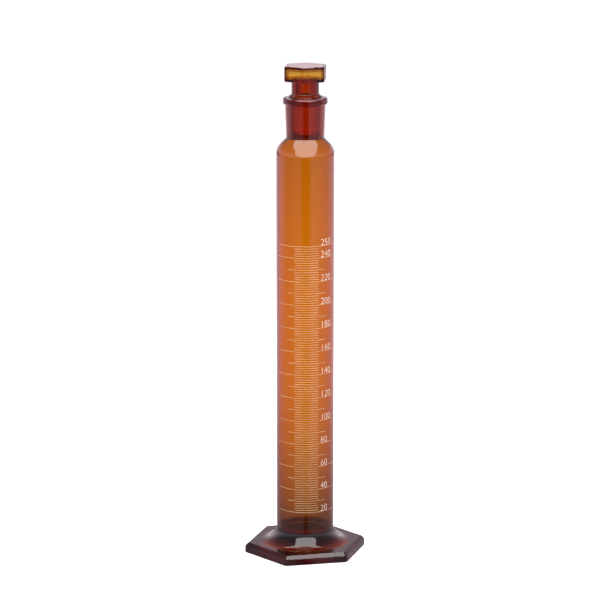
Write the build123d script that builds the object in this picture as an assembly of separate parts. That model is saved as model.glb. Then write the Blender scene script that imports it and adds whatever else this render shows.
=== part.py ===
from build123d import *

import math
import os

# Stoppered measuring cylinder of 250 ml in amber glass, for mixing by shaking.
# The tube, its conical socket and its six-sided foot are three glass pieces fused into one body.
# The hollow stopper is loose and lifts out of the socket. The scale is white enamel on the tube.
# Origin: centre of the foot's underside. +Z is up, and the scale faces -Y. Sizes in mm.

# Tube
tube_diameter = 41.6
tube_wall = 1.53
inner_floor_height = 16.1  # inside floor above the table
floor_thickness = 2.2
floor_round = 3.0  # inside, where the floor turns up into the wall
shoulder_round = 11.2  # outside, where the wall turns in
shoulder_slope = 45.0  # degrees from upright, of the cone above that
space_above_scale = 104.4  # last line to the rim: room for shaking, shoulder and neck
bend_share = 0.9  # most of the room beside it that a shoulder's bend takes

# Conical ground joint, size 24/29, taper 1:10
joint_diameter = 24.0  # wide end
joint_length = 29.0
joint_taper = 0.1
joint_clearance = 0.05  # all round, between socket and plug

# Socket
socket_wall_low = 3.05
socket_wall_high = 2.6
bead_width = 3.9  # of the beaded rim, from the bore
bead_height = 5.0
bead_bevel = 1.2

# Foot
foot_across_flats = 78.6
foot_corner_round = 3.0
foot_edge_height = 3.3
foot_bevel = 2.5
foot_rest_bevel = 0.4  # along the edge that meets the table
foot_turn = 9.0  # degrees, of a corner from +X
flare_rise = 11.0  # the flare sweeps down from the tube by this
flare_reach = 12.0  # and out over the plate by this
flare_lip = 0.3  # thickness of the flare's top edge, where it fuses to the tube
flare_margin = 1.5  # least flat left between the flare and the bevel
rest_ring_width = 6.0  # the foot stands on a ring round a shallow hollow
hollow_depth = 3.5
hollow_draft = 3.0  # lean of the hollow's side

# Stopper
plug_length = 28.0  # below the rim
plug_rise = 0.6  # ground part that shows above the rim
plug_slope_height = 1.8  # from the ground part in to the stem
plug_end_bevel = 1.2
plug_wall = 1.2
stem_diameter = 19.5
stem_wall = 3.6
stem_gap = 11.5  # rim to the underside of the head
head_across_flats = 29.4
head_thickness = 11.2
head_wall = 1.7
head_corner_round = 1.2
head_edge_bevel = 0.6
head_hollow_round = 3.0
head_turn = 21.7  # degrees, of a corner from +X

# Enamel scale
first_mark = 20  # ml
last_mark = 250
mark_step = 20  # between the ring lines
mark_width = 0.38
mark_thickness = 0.12
mark_half_angle = 68.5  # degrees, from the front to each end of a ring line
bend_centroid = 0.2234  # of a bend's radius: how far from the wall the centroid of its fill lies

# Worked out from the sizes above
tube_radius = tube_diameter / 2
bore_radius = tube_radius - tube_wall
tube_base = inner_floor_height - floor_thickness
plate_top = foot_edge_height + foot_bevel


def fill_height(volume):
    """Height above the table of the liquid's surface for a volume in ml, over the rounded floor."""
    fill_area = (1 - math.pi / 4) * floor_round**2
    fill_volume = 2 * math.pi * (bore_radius - bend_centroid * floor_round) * fill_area
    return inner_floor_height + (volume * 1000 + fill_volume) / (math.pi * bore_radius**2)


rim_height = fill_height(last_mark) + space_above_scale
neck_base = rim_height - joint_length
joint_radius = joint_diameter / 2
throat_radius = joint_radius - joint_length * joint_taper / 2
neck_radius = throat_radius + socket_wall_low
bead_base = rim_height - bead_height
slope = math.radians(shoulder_slope)
shoulder_room = (tube_radius - neck_radius) / (1 - math.cos(slope))
shoulder_arc = min(shoulder_round, bend_share * shoulder_room)
cone_radius = tube_radius - shoulder_arc * (1 - math.cos(slope))
cone_base = neck_base - (cone_radius - neck_radius) * math.tan(slope)
shoulder_base = cone_base - shoulder_arc * math.sin(slope)
flare_inner = tube_radius + flare_lip
flare_room = foot_across_flats / 2 - foot_bevel - flare_margin - flare_inner
plug_base = rim_height - plug_length
plug_top = rim_height + plug_rise
stem_base = plug_top + plug_slope_height
head_base = rim_height + stem_gap


def joint_radius_at(height):
    """Radius of the ground cone at a height above the table."""
    return joint_radius - (rim_height - height) * joint_taper / 2


def turned(*outline):
    """Solid of revolution about Z. The outline is a closed list of (radius, height) corners."""
    return revolve(Plane.XZ * make_face(Polyline(*outline, close=True)), Axis.Z)


def hexagonal(across_flats, height, corner_round, turn):
    """Upright six-sided prism on Z = 0, with rounded corners, the first at turn degrees from +X."""
    outline = RegularPolygon(across_flats / 2, 6, major_radius=False, rotation=turn)
    return extrude(fillet(outline.vertices(), corner_round), height)


def bevelled(prism, top_bevel, bottom_bevel):
    """The prism with its top and bottom edges bevelled."""
    prism = chamfer(prism.faces().sort_by(Axis.Z)[-1].edges(), top_bevel)
    return chamfer(prism.faces().sort_by(Axis.Z)[0].edges(), bottom_bevel)


def foot():
    """Pressed plate with a flare that sweeps up the tube, and a shallow hollow underneath."""
    plate = hexagonal(foot_across_flats, plate_top, foot_corner_round, foot_turn)
    plate = bevelled(plate, foot_bevel, foot_rest_bevel)
    reach = min(flare_reach, flare_room)
    centre = (flare_inner + reach, plate_top + flare_rise)
    sweep = EllipticalCenterArc(centre, reach, flare_rise, 180, arc_size=90)
    inside = Polyline(sweep @ 1, (0, plate_top), (0, plate_top + flare_rise), sweep @ 0)
    flare = revolve(Plane.XZ * make_face([sweep, *inside.edges()]), Axis.Z)
    seat = Pos(0, 0, tube_base) * extrude(Circle(tube_radius), rim_height)
    ring_inside = foot_across_flats / 2 - rest_ring_width
    hollow = turned(
        (0, 0),
        (ring_inside, 0),
        (ring_inside - hollow_draft, hollow_depth),
        (0, hollow_depth),
    )
    return plate + flare - seat - hollow


def inner_shoulder():
    """Inside of the shoulder, from the wall up to the throat: an arc, then its tangent to the throat."""
    throat = Vector(throat_radius, neck_base)
    step, rise = bore_radius - throat_radius, neck_base - shoulder_base
    room = (step**2 + rise**2) / (2 * step)
    arc_radius = min(shoulder_arc - tube_wall, bend_share * room)
    centre = Vector(bore_radius - arc_radius, shoulder_base)
    reach = throat - centre
    turn = math.degrees(math.atan2(reach.Y, reach.X) - math.acos(arc_radius / reach.length))
    arc = CenterArc(centre, arc_radius, 0, turn)
    return [arc, Line(arc @ 1, throat)]


def cylinder_tube():
    """Measuring tube with its rounded inside floor and its shoulder."""
    wall = Polyline(
        (0, inner_floor_height),
        (0, tube_base),
        (tube_radius, tube_base),
        (tube_radius, shoulder_base),
    )
    arc = CenterArc((tube_radius - shoulder_arc, shoulder_base), shoulder_arc, 0, shoulder_slope)
    cone = Polyline(arc @ 1, (neck_radius, neck_base), (throat_radius, neck_base))
    floor = FilletPolyline(
        (bore_radius, shoulder_base),
        (bore_radius, inner_floor_height),
        (0, inner_floor_height),
        radius=floor_round,
    )
    outline = [*wall.edges(), arc, *cone.edges(), *inner_shoulder(), *floor.edges()]
    return revolve(Plane.XZ * make_face(outline), Axis.Z)


def neck_socket():
    """Ground socket with a beaded rim, fused on the shoulder."""
    bead_radius = joint_radius + bead_width
    return turned(
        (throat_radius, neck_base),
        (neck_radius, neck_base),
        (joint_radius_at(bead_base) + socket_wall_high, bead_base),
        (bead_radius - bead_bevel, bead_base),
        (bead_radius, bead_base + bead_bevel),
        (bead_radius, rim_height - bead_bevel),
        (bead_radius - bead_bevel, rim_height),
        (joint_radius, rim_height),
    )


def stopper():
    """Hollow stopper: ground plug, stem and six-sided head round one closed air space."""
    plug_end_radius = joint_radius_at(plug_base) - joint_clearance
    plug_bevel_top = plug_base + plug_end_bevel
    stem_radius = stem_diameter / 2
    shank = turned(
        (0, plug_base),
        (plug_end_radius - plug_end_bevel, plug_base),
        (joint_radius_at(plug_bevel_top) - joint_clearance, plug_bevel_top),
        (joint_radius_at(plug_top) - joint_clearance, plug_top),
        (stem_radius, stem_base),
        (stem_radius, head_base),
        (0, head_base),
    )
    head = hexagonal(head_across_flats, head_thickness, head_corner_round, head_turn)
    head = bevelled(head, head_edge_bevel, head_edge_bevel)
    plug_bore = plug_end_radius - plug_wall
    stem_bore = stem_radius - stem_wall
    head_middle = head_base + head_thickness / 2
    air = turned(
        (0, plug_base + plug_wall),
        (plug_bore, plug_base + plug_wall),
        (plug_bore, rim_height - plug_wall),
        (stem_bore, stem_base),
        (stem_bore, head_middle),
        (0, head_middle),
    )
    head_air = hexagonal(
        head_across_flats - 2 * head_wall,
        head_thickness - 2 * head_wall,
        head_hollow_round,
        head_turn,
    )
    solid = shank + Pos(0, 0, head_base) * head
    return solid - air - Pos(0, 0, head_base + head_wall) * head_air


def ring_marks():
    """The enamel lines that go furthest round the tube, one at each 20 ml and one at the last volume."""
    section = Pos(tube_radius + mark_thickness / 2, 0) * Rectangle(mark_thickness, mark_width)
    line = revolve(Plane.XZ * section, Axis.Z, 2 * mark_half_angle)
    line = Rot(0, 0, -90 - mark_half_angle) * line
    volumes = [*range(first_mark, last_mark, mark_step), last_mark]
    return Compound([Pos(0, 0, fill_height(volume)) * line for volume in volumes])


def build():
    """All nodes by name."""
    return {
        "foot": foot(),
        "cylinder_tube": cylinder_tube(),
        "neck_socket": neck_socket(),
        "stopper": stopper(),
        "ring_marks": ring_marks(),
    }


os.makedirs("parts", exist_ok=True)
for node, shape in build().items():
    export_step(shape, f"parts/{node}.step")
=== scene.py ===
import math

import bmesh
import bpy
from mathutils import Matrix, Vector


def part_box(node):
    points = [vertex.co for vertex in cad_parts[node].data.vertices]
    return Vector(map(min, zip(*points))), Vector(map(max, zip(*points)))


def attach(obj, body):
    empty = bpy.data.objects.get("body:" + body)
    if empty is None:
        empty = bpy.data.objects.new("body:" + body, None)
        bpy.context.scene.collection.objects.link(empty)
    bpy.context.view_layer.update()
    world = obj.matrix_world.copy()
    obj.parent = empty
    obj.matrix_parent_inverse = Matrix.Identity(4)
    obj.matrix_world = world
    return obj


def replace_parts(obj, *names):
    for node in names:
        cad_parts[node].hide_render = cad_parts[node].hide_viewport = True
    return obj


# Amber glass measuring cylinder with a loose hollow stopper, standing on a pale table.
# Sizes are in metres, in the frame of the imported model: +Z up, with the scale facing -Y.

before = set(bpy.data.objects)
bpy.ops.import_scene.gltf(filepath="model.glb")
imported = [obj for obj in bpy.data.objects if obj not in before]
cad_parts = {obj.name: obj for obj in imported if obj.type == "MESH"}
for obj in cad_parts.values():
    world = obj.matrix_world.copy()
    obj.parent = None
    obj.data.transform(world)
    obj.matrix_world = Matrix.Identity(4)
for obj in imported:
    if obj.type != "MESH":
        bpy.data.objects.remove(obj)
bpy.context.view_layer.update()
scene = bpy.context.scene

MM = 0.001

# Read from the frame
tube_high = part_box("cylinder_tube")[1]
neck_low, neck_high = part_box("neck_socket")
stopper_low, stopper_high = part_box("stopper")
marks_low, marks_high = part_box("ring_marks")
TUBE_RADIUS = tube_high.x
RIM_HEIGHT = neck_high.z
NECK_BASE = neck_low.z
BEAD_RADIUS = neck_high.x
PLUG_END = stopper_low.z
STOPPER_TOP = stopper_high.z

# Tube. A BEND is the radius of a rounded corner.
TUBE_WALL = 1.53 * MM
INNER_FLOOR = 16.1 * MM
INNER_FLOOR_BEND = 3.0 * MM
SHOULDER_BEND = 11.2 * MM

# Neck. The joint's taper is the change of its radius over its height.
JOINT_TAPER = 0.05
JOINT_RADIUS = 12.0 * MM
THROAT_RADIUS = JOINT_RADIUS - JOINT_TAPER * (RIM_HEIGHT - NECK_BASE)
THROAT_RISE = 0.9 * MM
THROAT_BEND = 1.0 * MM
NECK_WALL_LOW = 3.05 * MM
NECK_WALL_HIGH = 2.6 * MM
NECK_RADIUS = THROAT_RADIUS + NECK_WALL_LOW
NECK_BEND = 0.5 * MM
BEAD_BASE = RIM_HEIGHT - 5.0 * MM
BEAD_NECK_RADIUS = JOINT_RADIUS - JOINT_TAPER * (RIM_HEIGHT - BEAD_BASE) + NECK_WALL_HIGH
BEAD_NECK_BEND = 0.4 * MM
BEAD_LOW_BEND = 1.2 * MM
BEAD_BEND = 1.4 * MM
RIM_BEND = 0.5 * MM

# Shoulder: where the straight wall would meet the slope of 45 degrees, outside and inside
SHOULDER_CORNER = NECK_BASE - (TUBE_RADIUS - NECK_RADIUS)
INNER_SHOULDER_CORNER = SHOULDER_CORNER - 0.14 * MM

# Foot
FOOT_REACH = 39.3 * MM
FOOT_CORNER_BEND = 3.0 * MM
FOOT_TURN = math.radians(9.0)
EDGE_TOP = 4.8 * MM
PLATE_TOP = 7.1 * MM
BEVEL_REACH = FOOT_REACH - 2.5 * MM
BEVEL_BEND = 0.9 * MM
FLARE_BEND = 11.5 * MM
HOLLOW_DEPTH = 3.5 * MM
HOLLOW_REACH = 33.3 * MM
HOLLOW_TOP_REACH = 30.3 * MM
HOLLOW_TOP_BEND = 1.2 * MM
HOLLOW_BEND = 0.8 * MM
REST_BEND = 0.5 * MM

# Stopper
JOINT_GAP = 0.05 * MM
PLUG_RADIUS = JOINT_RADIUS - JOINT_GAP - JOINT_TAPER * (RIM_HEIGHT - PLUG_END)
PLUG_END_BEND = 1.2 * MM
PLUG_TOP = RIM_HEIGHT + 0.6 * MM
PLUG_TOP_RADIUS = JOINT_RADIUS - JOINT_GAP + JOINT_TAPER * (PLUG_TOP - RIM_HEIGHT)
PLUG_TOP_BEND = 0.3 * MM
STEM_BASE = PLUG_TOP + 1.8 * MM
STEM_RADIUS = 9.75 * MM
STEM_BEND = 0.9 * MM
HEAD_BASE = RIM_HEIGHT + 11.5 * MM
HEAD_REACH = 14.2 * MM
HEAD_LOW_BEND = 0.9 * MM
HEAD_TOP_BEND = 0.8 * MM
HEAD_CORNER_BEND = 1.2 * MM
HEAD_TURN = math.radians(21.7)

# Air space in the stopper
PLUG_WALL = 0.9 * MM
STEM_WALL = 4.6 * MM
HEAD_WALL = 1.7 * MM
HEAD_SIDE_WALL = 1.1 * MM
PLUG_AIR = PLUG_RADIUS - PLUG_WALL
PLUG_AIR_END = PLUG_END + PLUG_WALL
PLUG_AIR_TOP = RIM_HEIGHT - 3.0 * MM
PLUG_AIR_TOP_RADIUS = PLUG_AIR + 0.8 * MM
PLUG_AIR_BEND = 4.0 * MM
STEM_AIR = STEM_RADIUS - STEM_WALL
STEM_AIR_BEND = 2.0 * MM
STEM_AIR_TOP_BEND = 1.2 * MM
HEAD_AIR = HEAD_REACH - HEAD_SIDE_WALL
HEAD_AIR_FLOOR = HEAD_BASE + HEAD_WALL
HEAD_AIR_TOP = STOPPER_TOP - HEAD_WALL
HEAD_AIR_BEND = 2.0 * MM
HEAD_AIR_CORNER_BEND = 4.0 * MM

# Mesh density, and half of the angle that one of six sides covers
HALF_SIDE = math.pi / 6
SECTOR_STEPS = 48
BEND_STEP = math.radians(9)
HOLD = 0.12 * MM
ON_AXIS = 0.0001 * MM
LEAST_CORNER_BEND = 0.3 * MM

# Enamel scale, in ml and metres. A line's section is narrower at its crest.
FIRST_MARK = 20
LAST_MARK = 250
LONG_EVERY = 20
MEDIUM_EVERY = 10
SHORT_EVERY = 2
RING_MARK_WIDTH = 0.38 * MM
MARK_WIDTH = 0.18 * MM
MARK_CREST = 0.72
MARK_PROUD = 0.05 * MM
MARK_SUNK = 0.04 * MM
SHORT_HALF_ANGLE = math.radians(24.4)
MEDIUM_HALF_ANGLE = math.radians(40.6)
LONG_HALF_ANGLE = math.radians(68.5)
MARK_STEP_ANGLE = math.radians(2.5)
PRINT_CENTRE = math.radians(-90)
NUMERAL_START = PRINT_CENTRE + math.radians(29.0)
NUMERAL_HEIGHT = 4.6 * MM
NUMERAL_PITCH = 3.4 * MM
NUMERAL_GAP = 0.5 * MM
NUMERAL_CUT = 0.5 * MM
NUMERAL_LIFT = 0.3 * MM
NUMERAL_THINNING = 0.022
CURVE_STEPS = 4

# Glass. The density is of the colour that light picks up on its way through.
WHITE = (1.0, 1.0, 1.0, 1.0)
GLASS_INDEX = 1.52
GLASS_TINT = (0.942, 0.705, 0.0, 1.0)
BODY_DENSITY = 1870.0
STOPPER_DENSITY = 1250.0
STREAK_SCALE = (260.0, 260.0, 9.0)
PRESSED_HEIGHT = 20.0 * MM
SMUDGE_SCALE = 70.0
SMUDGE_ROUGHNESS = 0.03
GROUND_INSIDE = 9.9 * MM
GROUND_OUTSIDE = 12.1 * MM
GROUND_SCALE = 3200.0
GROUND_ROUGHNESS = 0.12
GROUND_RELIEF = 0.5
GROUND_RIM_GAP = 0.4 * MM
GROUND_END_GAP = 1.0 * MM
REST_ROUGHNESS = 0.55
REST_HEIGHT = 0.3 * MM
REST_MARGIN = 1.0 * MM
# Painted shade: a darker base colour for the glass on the foot's edge, so that the edge looks darker
EDGE_PAINTED_SHADE = (0.30, 0.34, 0.34, 1.0)
GLASS_RELIEF = 0.25
RELIEF_DEPTH = 0.02 * MM

# Enamel colours, thin and thick
LINE_THIN = (0.52, 0.40, 0.22, 1.0)
LINE_THICK = (0.74, 0.62, 0.40, 1.0)
NUMERAL_THIN = (0.56, 0.48, 0.40, 1.0)
NUMERAL_THICK = (0.76, 0.68, 0.60, 1.0)
PATCH_SCALE = 120.0
PATCH_THIN = 0.3
PATCH_THICK = 0.7
SPECKLE_SCALE = 2600.0
ENAMEL_ROUGHNESS = 0.35
SPECKLE_ROUGHNESS = 0.25
ENAMEL_RELIEF = 0.3

# Table. Its left turns into its right over SIDE_BLEND.
TABLE_RADIUS = 14.0
TABLE_SIDES = 96
TABLE_DROP = 0.05 * MM
TABLE_PALE = (0.9, 0.9, 0.9, 1.0)
SIDE_BLEND = 0.4

# Table: how bright the glass shows it, at shares of TABLE_TONE_REACH from the object's axis
TABLE_TONE_REACH = 2.5
TABLE_TONES = [
    (0.0, 0.10),
    (0.018, 0.10),
    (0.026, 0.20),
    (0.04, 0.33),
    (0.06, 0.46),
    (0.12, 0.74),
    (0.20, 0.90),
    (0.34, 0.94),
    (0.50, 0.88),
    (0.70, 0.72),
    (1.0, 0.65),
]

# Table: how much darker the glass shows it to the sides behind the object. The START and END of a
# slope, here and below, are its width over its depth, and LEAST_DEPTH is the least depth that counts.
LEAST_DEPTH = 1.0 * MM
SIDE_START = 0.10
SIDE_END = 0.50
LEFT_DIMMING = 0.6
RIGHT_DIMMING = 0.35

# Table: how bright the glass reflects it on the left, on the right and behind, and what that loses
# near the object and far off
BOUNCE_LEFT = 0.45
BOUNCE_RIGHT = 0.75
BOUNCE_BACK = 1.15
BACK_START = 0.18
BACK_BLEND = 0.6
NEAR_REACH = 0.5
NEAR_LOSS = 0.35
FAR_START = 1.9
FAR_LOSS = 0.6

# Table: the dark gap in front that the glass reflects. It is full within the slope GAP_START and past
# the distance GAP_FULL, and fades out towards the slope GAP_END and the distance GAP_NEAR.
GAP_START = 0.20
GAP_END = 0.40
GAP_NEAR = 0.15
GAP_FULL = 0.40

# Table: the lit oval under the tube, a little in front of its axis
GLOW = 0.6
GLOW_HALF_WIDTH = 33.0 * MM
GLOW_HALF_DEPTH = 14.0 * MM
GLOW_SHIFT = (0.0, 4.0 * MM, 0.0)
GLOW_SHRINK = (1 / GLOW_HALF_WIDTH, 1 / GLOW_HALF_DEPTH, 0.0)

# Room. SEEN, SPREAD, REFLECTED and SHOWN are its brightness to the camera, on matt surfaces, in the
# glass's reflections and through the glass. It is reflected brighter when low, and a dark area behind
# is shown only through the glass.
ROOM_SEEN = 1.1
ROOM_SPREAD = 1.2
ROOM_REFLECTED = 0.38
ROOM_LOW = 1.0
ROOM_LOW_REACH = 0.45
ROOM_SHOWN = 0.60
ROOM_DARKEST = 0.08
DARK_BACK = (0.80, 0.995)
DARK_UP = (0.10, 0.6)
REFLECTED_TINT = (1.0, 0.85, 0.95, 1.0)

# Lit sheet, in rows from its lower front edge to its back edge: back, height and half width
SHEET_RADIANCE = 5.3
SHEET_SHOWN = 0.12
SHEET_TINT = (1.0, 0.93, 0.95, 1.0)
SHEET_ROWS = [
    (-0.80, 0.33, 0.32),
    (-0.70, 0.38, 0.43),
    (-0.58, 0.45, 0.47),
    (-0.48, 0.51, 0.46),
    (-0.38, 0.56, 0.40),
    (-0.22, 0.60, 0.28),
    (0.0, 0.63, 0.21),
    (0.50, 0.66, 0.21),
]

# Camera
CAMERA_TURN = math.radians(-3.0)
CAMERA_DISTANCE = 1.8
CAMERA_HEIGHT = 0.585
CAMERA_LENS = 153.1
CAMERA_SENSOR = 36.0
CAMERA_RANGE = 100.0
AIM_SIDE = -3.75 * MM
AIM_HEIGHT = 187.4 * MM

# Light's bounces
GLASS_BOUNCES = 24
GLOSS_BOUNCES = 8

# Places of outputs on the nodes
ACROSS, BACK, UP = range(3)
GENERATED_PLACE, OBJECT_PLACE = 0, 3
CAMERA_RAY, DIFFUSE_RAY, REFLECTION_RAY, TRANSMISSION_RAY = 0, 2, 5, 6


class Tone:
    """A value in a finish's node tree, which Python's operators combine through Math nodes."""

    def __init__(self, finish, socket):
        self.finish = finish
        self.socket = socket

    def maths(self, operation, *values):
        inputs = dict(enumerate(values))
        return self.finish.node("ShaderNodeMath", inputs, operation=operation)

    def __add__(self, other):
        return self.maths("ADD", self, other)

    def __radd__(self, other):
        return self.maths("ADD", other, self)

    def __sub__(self, other):
        return self.maths("SUBTRACT", self, other)

    def __rsub__(self, other):
        return self.maths("SUBTRACT", other, self)

    def __mul__(self, other):
        return self.maths("MULTIPLY", self, other)

    def __rmul__(self, other):
        return self.maths("MULTIPLY", other, self)

    def __truediv__(self, other):
        return self.maths("DIVIDE", self, other)

    def __pow__(self, other):
        return self.maths("POWER", self, other)

    def above(self, limit):
        """1 where the value is above a limit, and 0 elsewhere."""
        return self.maths("GREATER_THAN", self, limit)

    def below(self, limit):
        """1 where the value is below a limit, and 0 elsewhere."""
        return self.maths("LESS_THAN", self, limit)

    def between(self, low, high):
        """1 where the value lies between two limits, and 0 elsewhere."""
        return self.above(low) * self.below(high)

    def at_least(self, limit):
        return self.maths("MAXIMUM", self, limit)

    def held(self):
        """The value, held between 0 and 1."""
        return self.maths("MINIMUM", self, 1.0).at_least(0.0)

    def unsigned(self):
        return self.maths("ABSOLUTE", self)


class Finish:
    """A material or world in the making. node() adds one node and gives the value it puts out."""

    def __init__(self, owner):
        owner.use_nodes = True
        self.owner = owner
        self.tree = owner.node_tree
        self.tree.nodes.clear()

    def node(self, kind, inputs=None, output=0, stops=None, **settings):
        made = self.tree.nodes.new(kind)
        for setting, value in settings.items():
            setattr(made, setting, value)
        if stops:
            elements = made.color_ramp.elements
            while len(elements) < len(stops):
                elements.new(0.5)
            for element, (place, colour) in zip(elements, stops):
                element.position = place
                element.color = colour
        for key, value in (inputs or {}).items():
            if isinstance(value, Tone):
                self.tree.links.new(value.socket, made.inputs[key])
            else:
                made.inputs[key].default_value = value
        return Tone(self, made.outputs[output])

    def place(self, kind=OBJECT_PLACE):
        """The point on the object, in metres, or the way that a ray goes out into the room."""
        return self.node("ShaderNodeTexCoord", output=kind)

    def measure(self, place, way):
        """How far a place is ACROSS, BACK or UP."""
        return self.node("ShaderNodeSeparateXYZ", {"Vector": place}, output=way)

    def vector(self, operation, *vectors, output=0):
        inputs = dict(enumerate(vectors))
        return self.node("ShaderNodeVectorMath", inputs, output, operation=operation)

    def length(self, vector):
        return self.vector("LENGTH", vector, output=1)

    def ray(self, kind):
        """1 for rays of one kind, and 0 for all others."""
        return self.node("ShaderNodeLightPath", output=kind)

    def noise(self, place, scale, detail):
        inputs = {"Vector": place, "Scale": scale, "Detail": detail}
        return self.node("ShaderNodeTexNoise", inputs)

    def ramp(self, share, *stops):
        """A colour for each share, from stops of a share and its colour."""
        return self.node("ShaderNodeValToRGB", {"Fac": share}, stops=stops)

    def bump(self, height, strength):
        inputs = {"Height": height, "Strength": strength, "Distance": RELIEF_DEPTH}
        return self.node("ShaderNodeBump", inputs)

    def light(self, kind, colour, strength):
        return self.node(kind, {"Color": colour, "Strength": strength})

    def done(self, surface, volume=None):
        kind = "World" if isinstance(self.owner, bpy.types.World) else "Material"
        out = self.tree.nodes.new(f"ShaderNodeOutput{kind}")
        self.tree.links.new(surface.socket, out.inputs["Surface"])
        if volume:
            self.tree.links.new(volume.socket, out.inputs["Volume"])
        return self.owner


def amber_glass(name, density, ground_low, ground_high):
    """Amber glass, coloured through its thickness. It is faintly drawn along Z and lightly smudged,
    finely ground on the joint's cone between the two heights, rough underneath, and given painted
    shade on the foot's edge: a darker base colour there."""
    finish = Finish(bpy.data.materials.new(name))
    place = finish.place()
    height = finish.measure(place, UP)
    reach = finish.length(finish.vector("MULTIPLY", place, (1, 1, 0)))
    cone = height.between(ground_low, ground_high) * reach.between(GROUND_INSIDE, GROUND_OUTSIDE)
    hollow = height.below(HOLLOW_DEPTH + REST_HEIGHT) * reach.below(HOLLOW_REACH + REST_MARGIN)
    rest = (hollow + height.below(REST_HEIGHT)).held()
    edge = height.below(EDGE_TOP) * reach.above(HOLLOW_REACH + REST_MARGIN)
    # Painted shade: the foot's edge gets a darker base colour than the rest of the glass
    painted_edge_shade = finish.ramp(edge, (0.0, WHITE), (1.0, EDGE_PAINTED_SHADE))
    drawn = finish.node("ShaderNodeMapping", {"Vector": place, "Scale": STREAK_SCALE})
    streaks = height.above(PRESSED_HEIGHT) * finish.noise(drawn, scale=1.0, detail=2.0)
    smudges = finish.noise(place, SMUDGE_SCALE, detail=4.0)
    grain = finish.noise(place, GROUND_SCALE, detail=2.0)
    roughness = SMUDGE_ROUGHNESS * smudges ** 3 + GROUND_ROUGHNESS * cone + REST_ROUGHNESS * rest
    glass = finish.node(
        "ShaderNodeBsdfPrincipled",
        {
            "Base Color": painted_edge_shade,
            "Roughness": roughness,
            "IOR": GLASS_INDEX,
            "Transmission Weight": 1.0,
            "Normal": finish.bump(streaks + GROUND_RELIEF * cone * grain, GLASS_RELIEF),
        },
    )
    amber = finish.node("ShaderNodeVolumeAbsorption", {"Color": GLASS_TINT, "Density": density})
    return finish.done(glass, amber)


def white_enamel(name, thin, thick):
    """Fired white enamel: satin, from its thin to its thick colour where it lies uneven."""
    finish = Finish(bpy.data.materials.new(name))
    place = finish.place()
    speckle = finish.noise(place, SPECKLE_SCALE, detail=3.0)
    patches = finish.noise(place, PATCH_SCALE, detail=2.0)
    enamel = finish.node(
        "ShaderNodeBsdfPrincipled",
        {
            "Base Color": finish.ramp(patches, (PATCH_THIN, thin), (PATCH_THICK, thick)),
            "Roughness": ENAMEL_ROUGHNESS + SPECKLE_ROUGHNESS * speckle,
            "Normal": finish.bump(speckle, ENAMEL_RELIEF),
        },
    )
    return finish.done(enamel)


def rounded(corners):
    """Stations (reach, height, six) along an outline with rounded corners (reach, height, bend, six).
    A station is six when its ring has six sides, and round when not. Beside each bend is one more
    station on the straight, which keeps the straight's shading flat."""
    stations = []
    for index, (reach, height, bend, six) in enumerate(corners):
        here = Vector((reach, height))
        if not bend:
            stations.append((reach, height, six))
            continue
        before = Vector(corners[index - 1][:2]) - here
        after = Vector(corners[index + 1][:2]) - here
        inward = before.normalized()
        outward = after.normalized()
        half = math.acos(max(-1.0, min(1.0, inward.dot(outward)))) / 2
        cut = bend / math.tan(half)
        centre = here + (inward + outward).normalized() * (bend / math.sin(half))
        start = here + inward * cut
        finish = here + outward * cut
        turn = math.pi - 2 * half
        steps = max(2, math.ceil(turn / BEND_STEP))
        if before.length > cut + 2 * HOLD:
            stations.append((*(start + inward * HOLD), six))
        first = start - centre
        side = 1 if first.cross(finish - centre) > 0 else -1
        for step in range(steps + 1):
            angle = side * turn * step / steps
            spoke = Matrix.Rotation(angle, 2) @ first
            stations.append((*(centre + spoke), six))
        if after.length > cut + 2 * HOLD:
            stations.append((*(finish + outward * HOLD), six))
    return stations


def sector_angles(turn):
    """Angles round the axis, closest together at the six corners, the first of which is at turn."""
    angles = []
    for side in range(6):
        middle = turn + HALF_SIDE + side * 2 * HALF_SIDE
        for step in range(SECTOR_STEPS):
            share = 2 * step / SECTOR_STEPS - 1
            angles.append(middle + HALF_SIDE * math.sin(share * math.pi / 2))
    return angles


def six_sided(angle, reach, bend):
    """Distance from the axis to a rounded hexagon, at an angle from one of its corners."""
    off = abs((angle + HALF_SIDE) % (2 * HALF_SIDE) - HALF_SIDE)
    spoke = (reach - bend) / math.cos(HALF_SIDE)
    tangent = math.atan2(bend * math.sin(HALF_SIDE), spoke + bend * math.cos(HALF_SIDE))
    if off > tangent:
        return reach / math.cos(HALF_SIDE - off)
    return spoke * math.cos(off) + math.sqrt(bend**2 - (spoke * math.sin(off)) ** 2)


def add_surface(mesh, stations, turn, corner_reach, corner_bend):
    """Adds the surface through the stations to a bmesh: a ring at each, or a point on the axis. A
    six-sided ring's corners are rounded by corner_bend at corner_reach, and by less further in."""
    angles = sector_angles(turn)
    rings = []
    for reach, height, six in stations:
        if reach < ON_AXIS:
            rings.append([mesh.verts.new((0, 0, height))])
            continue
        bend = max(corner_bend - (corner_reach - reach), LEAST_CORNER_BEND)
        ring = []
        for angle in angles:
            radius = six_sided(angle - turn, reach, bend) if six else reach
            spoke = (radius * math.cos(angle), radius * math.sin(angle), height)
            ring.append(mesh.verts.new(spoke))
        rings.append(ring)
    count = len(angles)
    for index in range(len(rings) - 1):
        low, high = rings[index], rings[index + 1]
        for step in range(count):
            after = (step + 1) % count
            if len(low) == 1:
                corners = (low[0], high[after], high[step])
            elif len(high) == 1:
                corners = (low[step], low[after], high[0])
            else:
                corners = (low[step], low[after], high[after], high[step])
            face = mesh.faces.new(corners)
            face.smooth = True


def as_object(name, mesh, material):
    """Makes a bmesh into an object of one material."""
    data = bpy.data.meshes.new(name)
    mesh.to_mesh(data)
    mesh.free()
    data.materials.append(material)
    made = bpy.data.objects.new(name, data)
    scene.collection.objects.link(made)
    return made


def as_piece(name, mesh, material, body):
    """Makes a bmesh into a named piece that rides on a body."""
    piece = as_object(name, mesh, material)
    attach(piece, body)
    return piece


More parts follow.
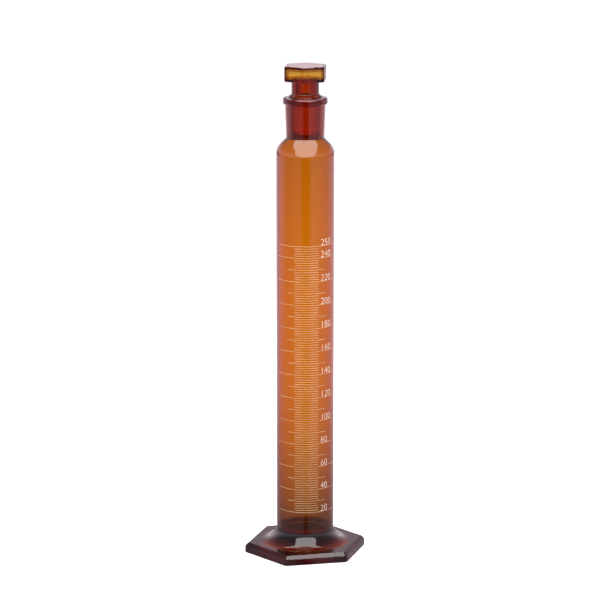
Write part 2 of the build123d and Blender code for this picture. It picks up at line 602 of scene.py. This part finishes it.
def cylinder_glass(glass):
    """Foot, tube and neck as the one piece of glass that they are once fused."""
    bore = TUBE_RADIUS - TUBE_WALL
    corners = [
        (0, HOLLOW_DEPTH, 0, False),
        (HOLLOW_TOP_REACH, HOLLOW_DEPTH, HOLLOW_TOP_BEND, False),
        (HOLLOW_REACH, 0, HOLLOW_BEND, False),
        (FOOT_REACH, 0, REST_BEND, True),
        (FOOT_REACH, EDGE_TOP, BEVEL_BEND, True),
        (BEVEL_REACH, PLATE_TOP, BEVEL_BEND, True),
        (TUBE_RADIUS, PLATE_TOP, FLARE_BEND, False),
        (TUBE_RADIUS, SHOULDER_CORNER, SHOULDER_BEND, False),
        (NECK_RADIUS, NECK_BASE, NECK_BEND, False),
        (BEAD_NECK_RADIUS, BEAD_BASE, BEAD_NECK_BEND, False),
        (BEAD_RADIUS, BEAD_BASE, BEAD_LOW_BEND, False),
        (BEAD_RADIUS, RIM_HEIGHT, BEAD_BEND, False),
        (JOINT_RADIUS, RIM_HEIGHT, RIM_BEND, False),
        (THROAT_RADIUS, NECK_BASE + THROAT_RISE, THROAT_BEND, False),
        (bore, INNER_SHOULDER_CORNER, SHOULDER_BEND - TUBE_WALL, False),
        (bore, INNER_FLOOR, INNER_FLOOR_BEND, False),
        (0, INNER_FLOOR, 0, False),
    ]
    mesh = bmesh.new()
    add_surface(mesh, rounded(corners), FOOT_TURN, FOOT_REACH, FOOT_CORNER_BEND)
    piece = as_piece("fused_cylinder_glass", mesh, glass, "cylinder")
    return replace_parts(piece, "foot", "cylinder_tube", "neck_socket")


def stopper_glass(glass):
    """Hollow stopper: the outside, and the wall of the air space inside it."""
    outside = [
        (0, PLUG_END, 0, False),
        (PLUG_RADIUS, PLUG_END, PLUG_END_BEND, False),
        (PLUG_TOP_RADIUS, PLUG_TOP, PLUG_TOP_BEND, False),
        (STEM_RADIUS, STEM_BASE, STEM_BEND, False),
        (STEM_RADIUS, HEAD_BASE, STEM_BEND, False),
        (HEAD_REACH, HEAD_BASE, HEAD_LOW_BEND, True),
        (HEAD_REACH, STOPPER_TOP, HEAD_TOP_BEND, True),
        (0, STOPPER_TOP, 0, False),
    ]
    inside = [
        (0, HEAD_AIR_TOP, 0, False),
        (HEAD_AIR, HEAD_AIR_TOP, HEAD_AIR_BEND, True),
        (HEAD_AIR, HEAD_AIR_FLOOR, HEAD_AIR_BEND, True),
        (STEM_AIR, HEAD_AIR_FLOOR, STEM_AIR_TOP_BEND, False),
        (STEM_AIR, STEM_BASE, STEM_AIR_BEND, False),
        (PLUG_AIR_TOP_RADIUS, PLUG_AIR_TOP, PLUG_AIR_BEND, False),
        (PLUG_AIR, PLUG_AIR_END, PLUG_AIR_BEND, False),
        (0, PLUG_AIR_END, 0, False),
    ]
    mesh = bmesh.new()
    add_surface(mesh, rounded(outside), HEAD_TURN, HEAD_REACH, HEAD_CORNER_BEND)
    add_surface(mesh, rounded(inside), HEAD_TURN, HEAD_AIR, HEAD_AIR_CORNER_BEND)
    piece = as_piece("hollow_stopper_glass", mesh, glass, "stopper")
    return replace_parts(piece, "stopper")


def mark_height(volume):
    """Height of the line for a volume in ml: the bore is even, so the scale is too."""
    low = marks_low.z + RING_MARK_WIDTH / 2
    high = marks_high.z - RING_MARK_WIDTH / 2
    return low + (high - low) * (volume - FIRST_MARK) / (LAST_MARK - FIRST_MARK)


def is_long(volume):
    """Whether a volume has one of the longest lines, which are numbered."""
    return volume % LONG_EVERY == 0 or volume == LAST_MARK


def half_angle(volume):
    """Half of the angle that a volume's line covers."""
    if is_long(volume):
        return LONG_HALF_ANGLE
    return SHORT_HALF_ANGLE if volume % MEDIUM_EVERY else MEDIUM_HALF_ANGLE


def add_line(mesh, volume):
    """Adds one enamel line, a low raised bar bent round the tube."""
    reach = half_angle(volume)
    steps = math.ceil(2 * reach / MARK_STEP_ANGLE)
    height = mark_height(volume)
    inner, outer = TUBE_RADIUS - MARK_SUNK, TUBE_RADIUS + MARK_PROUD
    foot = MARK_WIDTH / 2
    crest = foot * MARK_CREST
    section = [(inner, -foot), (outer, -crest), (outer, crest), (inner, foot)]
    rows = []
    for step in range(steps + 1):
        angle = PRINT_CENTRE - reach + 2 * reach * step / steps
        spoke = Vector((math.cos(angle), math.sin(angle), 0))
        places = [spoke * radius + Vector((0, 0, height + up)) for radius, up in section]
        rows.append([mesh.verts.new(place) for place in places])
    for row, after in zip(rows, rows[1:]):
        for side in range(4):
            up = (side + 1) % 4
            mesh.faces.new((row[side], after[side], after[up], row[up]))
    mesh.faces.new(rows[0])
    mesh.faces.new(reversed(rows[-1]))


def enamel_lines(enamel):
    """The volume lines: a short one each 2 ml, a medium one each 10 ml and a long one each 20 ml."""
    mesh = bmesh.new()
    for volume in range(FIRST_MARK, LAST_MARK + 1, SHORT_EVERY):
        add_line(mesh, volume)
    bmesh.ops.recalc_face_normals(mesh, faces=mesh.faces)
    piece = as_piece("enamel_volume_lines", mesh, enamel, "cylinder")
    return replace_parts(piece, "ring_marks")


def add_numeral(mesh, volume):
    """Adds a volume's number, bent round the tube on top of its line."""
    curve = bpy.data.curves.new("numeral", "FONT")
    curve.body = str(volume)
    curve.resolution_u = CURVE_STEPS
    curve.extrude = (MARK_PROUD + MARK_SUNK) / 2
    curve.offset = -NUMERAL_THINNING
    text = bpy.data.objects.new("numeral", curve)
    flat = bmesh.new()
    flat.from_mesh(bpy.data.meshes.new_from_object(text))
    bpy.data.objects.remove(text)
    across = max(v.co.x for v in flat.verts)
    up = max(v.co.y for v in flat.verts)
    width = NUMERAL_PITCH * len(curve.body) - NUMERAL_GAP
    cut = 0.0
    while cut < across:
        geometry = flat.verts[:] + flat.edges[:] + flat.faces[:]
        bmesh.ops.bisect_plane(flat, geom=geometry, plane_co=(cut, 0, 0), plane_no=(1, 0, 0))
        cut += across / (width / NUMERAL_CUT)
    middle = TUBE_RADIUS + (MARK_PROUD - MARK_SUNK) / 2
    base = mark_height(volume) + NUMERAL_LIFT
    for v in flat.verts:
        angle = NUMERAL_START + v.co.x / across * width / TUBE_RADIUS
        radius = middle + v.co.z
        height = base + v.co.y / up * NUMERAL_HEIGHT
        v.co = (radius * math.cos(angle), radius * math.sin(angle), height)
    bent = bpy.data.meshes.new("numeral")
    flat.to_mesh(bent)
    flat.free()
    mesh.from_mesh(bent)
    bpy.data.meshes.remove(bent)


def enamel_numerals(enamel):
    """The volumes in ml, one on each long line."""
    mesh = bmesh.new()
    for volume in filter(is_long, range(FIRST_MARK, LAST_MARK + 1)):
        add_numeral(mesh, volume)
    return as_piece("enamel_numerals", mesh, enamel, "cylinder")


def shown_table(finish, place, right):
    """How bright the glass shows the table: darker near the object, and beside it towards the back."""
    share = finish.length(place) / TABLE_TONE_REACH
    stops = [(stop, (tone, tone, tone, 1.0)) for stop, tone in TABLE_TONES]
    slope = finish.measure(place, ACROSS).unsigned() / finish.measure(place, BACK).at_least(LEAST_DEPTH)
    beside = ((slope - SIDE_START) / (SIDE_END - SIDE_START)).held()
    dimming = LEFT_DIMMING + (RIGHT_DIMMING - LEFT_DIMMING) * right
    return finish.ramp(share, *stops) * (1.0 - dimming * beside)


def reflected_table(finish, place, right):
    """How bright the glass reflects the table: darker close by and far off, with a dark gap in front."""
    distance = finish.length(place)
    front = finish.measure(place, BACK) * -1.0
    slope = finish.measure(place, ACROSS).unsigned() / front.at_least(LEAST_DEPTH)
    nearby = ((GAP_FULL - front) / (GAP_FULL - GAP_NEAR)).held()
    outside_gap = ((slope - GAP_START) / (GAP_END - GAP_START) + nearby).held()
    behind = ((BACK_START - front) / BACK_BLEND).held()
    sides = BOUNCE_LEFT + (BOUNCE_RIGHT - BOUNCE_LEFT) * right
    bounce = outside_gap * (sides + (BOUNCE_BACK - sides) * behind)
    near = 1.0 - NEAR_LOSS * (1.0 - distance / NEAR_REACH).held()
    far = 1.0 - FAR_LOSS * (distance - FAR_START).held()
    return bounce * near * far


def table_finish():
    """Pale table, matt to the camera. What the glass shows and reflects of it has its own brightness."""
    finish = Finish(bpy.data.materials.new("pale_table"))
    place = finish.place()
    right = (finish.measure(place, ACROSS) / SIDE_BLEND + 0.5).held()
    reflected = finish.ray(REFLECTION_RAY)
    patch = finish.vector("MULTIPLY", finish.vector("ADD", place, GLOW_SHIFT), GLOW_SHRINK)
    glow = GLOW * finish.length(patch).below(1.0)
    shown = shown_table(finish, place, right) * (1.0 - reflected)
    strength = shown + reflected_table(finish, place, right) * reflected + glow
    tint = finish.ramp(reflected, (0.0, WHITE), (1.0, REFLECTED_TINT))
    lit = finish.light("ShaderNodeEmission", tint, strength)
    matt = finish.node("ShaderNodeBsdfDiffuse", {"Color": TABLE_PALE})
    mixed = finish.node("ShaderNodeMixShader", {0: finish.ray(CAMERA_RAY), 1: lit, 2: matt})
    made = finish.done(mixed)
    made.cycles.emission_sampling = "NONE"
    return made


def table():
    """A wide plain table top under the foot."""
    mesh = bmesh.new()
    bmesh.ops.create_circle(mesh, cap_ends=True, radius=TABLE_RADIUS, segments=TABLE_SIDES)
    made = as_object("table", mesh, table_finish())
    made.location.z = -TABLE_DROP


def softbox():
    """One soft light: a sheet that hangs in front of the object and curves over it, narrower on top.
    It is much dimmer through the glass than in its reflections."""
    finish = Finish(bpy.data.materials.new("lit_sheet"))
    strength = SHEET_RADIANCE * (1.0 - (1.0 - SHEET_SHOWN) * finish.ray(TRANSMISSION_RAY))
    material = finish.done(finish.light("ShaderNodeEmission", SHEET_TINT, strength))
    mesh = bmesh.new()
    rows = []
    for back, height, half in SHEET_ROWS:
        rows.append([mesh.verts.new((side * half, back, height)) for side in (-1, 1)])
    for (left, right), (next_left, next_right) in zip(rows, rows[1:]):
        mesh.faces.new((left, right, next_right, next_left))
    made = as_object("lit_sheet", mesh, material)
    made.visible_camera = False


def room():
    """Pale room, with its own brightness for each kind of ray."""
    world = Finish(bpy.data.worlds.new("pale_room"))
    seen = world.ray(CAMERA_RAY)
    spread = world.ray(DIFFUSE_RAY)
    mirrored = world.ray(REFLECTION_RAY) - spread
    through = world.ray(TRANSMISSION_RAY)
    way = world.place(GENERATED_PLACE)
    up = world.measure(way, UP)
    dark = world.measure(way, BACK).between(*DARK_BACK) * up.between(*DARK_UP)
    glossy = ROOM_REFLECTED + ROOM_LOW * (1.0 - up / ROOM_LOW_REACH).held()
    shown = ROOM_SHOWN - (ROOM_SHOWN - ROOM_DARKEST) * dark
    strength = ROOM_SEEN * seen + ROOM_SPREAD * spread + glossy * mirrored + shown * through
    tint = world.ramp(mirrored, (0.0, WHITE), (1.0, REFLECTED_TINT))
    scene.world = world.done(world.light("ShaderNodeBackground", tint, strength))


def camera():
    """Camera higher than the rim, looking down from slightly to the left of the scale."""
    made = bpy.data.objects.new("camera", bpy.data.cameras.new("camera"))
    scene.collection.objects.link(made)
    made.location = (
        CAMERA_DISTANCE * math.sin(CAMERA_TURN),
        -CAMERA_DISTANCE * math.cos(CAMERA_TURN),
        CAMERA_HEIGHT,
    )
    aim = Vector((AIM_SIDE, 0, AIM_HEIGHT)) - made.location
    made.rotation_euler = aim.to_track_quat("-Z", "Y").to_euler()
    made.data.lens = CAMERA_LENS
    made.data.sensor_width = CAMERA_SENSOR
    made.data.clip_end = CAMERA_RANGE
    scene.camera = made


body_glass = amber_glass("amber_glass", BODY_DENSITY, NECK_BASE, RIM_HEIGHT - GROUND_RIM_GAP)
hollow_glass = amber_glass("stopper_glass", STOPPER_DENSITY, PLUG_END + GROUND_END_GAP, STEM_BASE)
cylinder_glass(body_glass)
stopper_glass(hollow_glass)
enamel_lines(white_enamel("line_enamel", LINE_THIN, LINE_THICK))
enamel_numerals(white_enamel("numeral_enamel", NUMERAL_THIN, NUMERAL_THICK))
table()
room()
softbox()
camera()

scene.view_settings.view_transform = "Standard"
scene.cycles.max_bounces = GLASS_BOUNCES
scene.cycles.transmission_bounces = GLASS_BOUNCES
scene.cycles.glossy_bounces = GLOSS_BOUNCES
